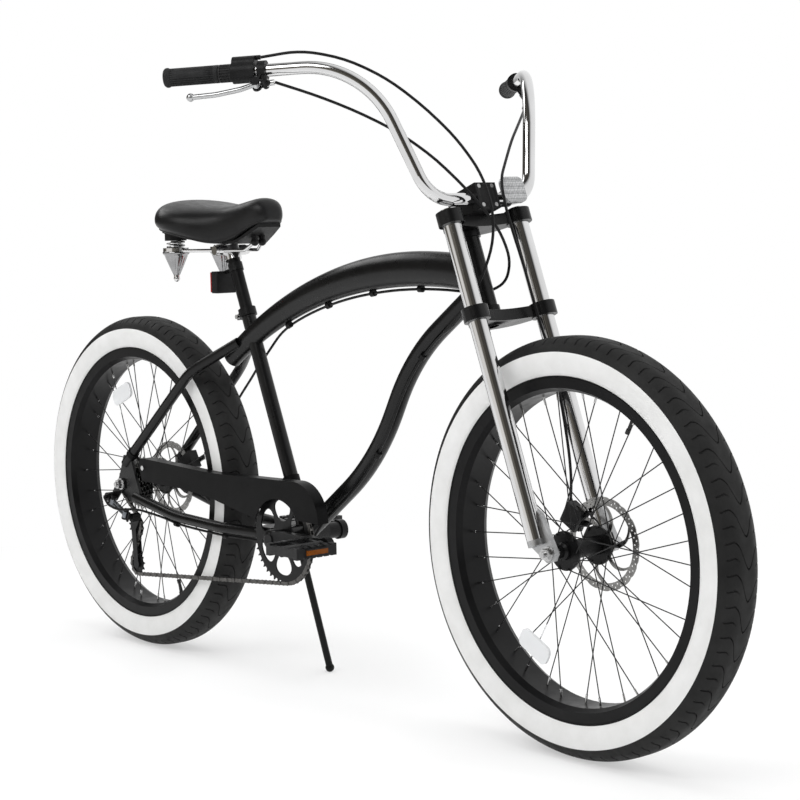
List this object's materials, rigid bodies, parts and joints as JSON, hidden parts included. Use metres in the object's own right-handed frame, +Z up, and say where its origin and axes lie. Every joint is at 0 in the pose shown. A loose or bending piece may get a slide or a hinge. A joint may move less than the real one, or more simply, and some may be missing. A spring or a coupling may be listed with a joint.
{
  "type": "beach cruiser bicycle",
  "caption": "Beach cruiser bicycle with a bowed top tube, double-crown fork, high-rise bars, fat whitewall tyres, disc brakes, rear derailleur and sprung saddle.",
  "frame": {"origin": "on the floor, midway between the two axles, in the frame's middle plane", "axes": "+X forward, +Y to the rider's left, +Z up; the drive side is -Y"},
  "size_m": [1.982, 0.8359, 1.1851],
  "materials": {
    "black_paint": "satin",
    "chrome": "polished",
    "silver": "satin",
    "steel": "brushed",
    "black_steel": "satin",
    "black_alloy": "satin",
    "tyre": "matte",
    "grip_rubber": "matte",
    "black_plastic": "matte",
    "vinyl": "satin",
    "clear_lens": "gloss"
  },
  "bodies": {
    "frame": {"head_tube": "black_paint", "bearing_cups": "silver", "bottom_bracket_shell": "black_paint", "seat_tube": "black_paint", "top_tube": "black_paint", "down_tube": "black_paint", "rear_stays": "black_paint", "frame_fittings": "black_paint", "rear_axle": "silver", "derailleur_mount": "steel", "chain": "steel", "chain_guard": "black_paint", "kickstand_bracket": "black_paint", "rear_brake_caliper": "black_alloy", "rear_brake_cable": "black_plastic", "shift_cable": "black_plastic"},
    "steer": {"fork_crowns": "black_paint", "fork_legs": "chrome", "fork_dropouts": "silver", "stem": "black_paint", "handlebar": "chrome", "grips": "grip_rubber", "control_clamps": "black_alloy", "front_reflector": "clear_lens", "front_axle": "silver", "front_brake_caliper": "black_alloy", "front_brake_cable": "black_plastic"},
    "front_wheel": {"front_tyre": "tyre", "front_rim": "black_alloy", "front_spokes": "black_steel", "front_hub": "black_alloy", "front_brake_disc": "steel"},
    "rear_wheel": {"rear_tyre": "tyre", "rear_rim": "black_alloy", "rear_spokes": "black_steel", "rear_hub": "black_alloy", "rear_brake_disc": "steel"},
    "freewheel": {"freewheel": "steel"},
    "crankset": {"right_crank": "black_steel", "left_crank": "black_steel", "chainring": "black_steel"},
    "right_pedal": {"right_pedal": "black_plastic"},
    "left_pedal": {"left_pedal": "black_plastic"},
    "right_lever": {"right_brake_lever": "silver"},
    "left_lever": {"left_brake_lever": "silver"},
    "twist": {"shifter_twist": "grip_rubber"},
    "front_arm": {"front_caliper_arm": "steel"},
    "rear_arm": {"rear_caliper_arm": "steel"},
    "derailleur_link": {"derailleur_links": "black_paint"},
    "derailleur_knuckle": {"derailleur_knuckle": "black_paint"},
    "derailleur_cage": {"derailleur_cage": "steel"},
    "guide_pulley": {"guide_pulley": "black_plastic"},
    "tension_pulley": {"tension_pulley": "black_plastic"},
    "stand": {"kickstand_leg": "black_steel"},
    "seat": {"seat_post": "black_paint", "saddle_cover": "vinyl", "saddle_rails": "chrome", "saddle_base": "black_plastic", "saddle_springs": "chrome", "rear_reflector": "black_plastic"}
  },
  "joints": [
    {"name": "steering", "type": "hinge", "parent": "frame", "child": "steer", "pos_m": [0.42247, 0, 0.74424], "axis": [-0.3469, 0, 0.9379], "range_deg": [-60, 60], "deforming": ["shift_cable", "rear_brake_cable"]},
    {"name": "front_wheel_spin", "type": "hinge", "parent": "steer", "child": "front_wheel", "pos_m": [0.639, 0, 0.352], "axis": [0, 1, 0], "continuous": true},
    {"name": "rear_wheel_spin", "type": "hinge", "parent": "frame", "child": "rear_wheel", "pos_m": [-0.639, 0, 0.352], "axis": [0, 1, 0], "continuous": true},
    {"name": "crank_spin", "type": "hinge", "parent": "frame", "child": "crankset", "pos_m": [-0.102, 0, 0.294], "axis": [0, 1, 0], "continuous": true, "deforming": ["chain"]},
    {"name": "freewheel_spin", "type": "hinge", "parent": "frame", "child": "freewheel", "pos_m": [-0.639, 0, 0.352], "axis": [0, 1, 0], "continuous": true},
    {"name": "right_pedal_spin", "type": "hinge", "parent": "crankset", "child": "right_pedal", "pos_m": [0.06777, 0, 0.3029], "axis": [0, 1, 0], "continuous": true},
    {"name": "left_pedal_spin", "type": "hinge", "parent": "crankset", "child": "left_pedal", "pos_m": [-0.27177, 0, 0.2851], "axis": [0, 1, 0], "continuous": true},
    {"name": "right_lever_pull", "type": "hinge", "parent": "steer", "child": "right_lever", "pos_m": [0.20323, -0.31845, 1.13028], "axis": [-0.4442, 0.6246, -0.6424], "range_deg": [0, 11], "stiffness_Nm_per_rad": 2, "springref_deg": -5.73},
    {"name": "left_lever_pull", "type": "hinge", "parent": "steer", "child": "left_lever", "pos_m": [0.18181, 0.3347, 1.12928], "axis": [0.4442, 0.6246, 0.6424], "range_deg": [0, 11], "stiffness_Nm_per_rad": 2, "springref_deg": -5.73},
    {"name": "front_arm_pull", "type": "hinge", "parent": "steer", "child": "front_arm", "pos_m": [0.57145, 0, 0.391], "axis": [0, 1, 0], "range_deg": [0, 20]},
    {"name": "rear_arm_pull", "type": "hinge", "parent": "frame", "child": "rear_arm", "pos_m": [-0.57145, 0, 0.391], "axis": [0, 1, 0], "range_deg": [-20, 0]},
    {"name": "shifter_turn", "type": "hinge", "parent": "steer", "child": "twist", "pos_m": [0.06122, -0.402, 1.14724], "axis": [0.7961, 0.6041, 0.0368], "range_deg": [-17.4, 90]},
    {"name": "derailleur_swing", "type": "hinge", "parent": "frame", "child": "derailleur_link", "pos_m": [-0.656, -0.088, 0.314], "axis": [0.4553, 0, 0.8903], "range_deg": [-5.8, 30]},
    {"name": "derailleur_follow", "type": "hinge", "parent": "derailleur_link", "child": "derailleur_knuckle", "pos_m": [-0.612, -0.086, 0.2915], "axis": [0.4553, 0, 0.8903], "range_deg": [-30, 5.8]},
    {"name": "cage_swing", "type": "hinge", "parent": "derailleur_knuckle", "child": "derailleur_cage", "pos_m": [-0.6, 0, 0.284], "axis": [0, 1, 0], "range_deg": [-40, 15], "stiffness_Nm_per_rad": 2},
    {"name": "guide_pulley_spin", "type": "hinge", "parent": "derailleur_cage", "child": "guide_pulley", "pos_m": [-0.62, 0, 0.262], "axis": [0, 1, 0], "continuous": true},
    {"name": "tension_pulley_spin", "type": "hinge", "parent": "derailleur_cage", "child": "tension_pulley", "pos_m": [-0.614, 0, 0.18223], "axis": [0, 1, 0], "continuous": true},
    {"name": "kickstand_swing", "type": "hinge", "parent": "frame", "child": "stand", "pos_m": [-0.172, 0.04, 0.25], "axis": [0.1624, 0.965, 0.2062], "range_deg": [0, 90]},
    {"name": "seat_post_slide", "type": "slide", "parent": "frame", "child": "seat", "axis": [-0.373, 0, 0.9278], "range_m": [-0.04, 0.06]}
  ],
  "couplings": [
    {"joint": "freewheel_spin", "follows": "crank_spin", "ratio": 2.75},
    {"joint": "guide_pulley_spin", "follows": "crank_spin", "ratio": -4},
    {"joint": "tension_pulley_spin", "follows": "crank_spin", "ratio": 4},
    {"joint": "front_arm_pull", "follows": "left_lever_pull", "ratio": 1.8},
    {"joint": "rear_arm_pull", "follows": "right_lever_pull", "ratio": -1.8},
    {"joint": "derailleur_swing", "follows": "shifter_turn", "ratio": 0.333},
    {"joint": "derailleur_follow", "follows": "shifter_turn", "ratio": -0.333}
  ]
}
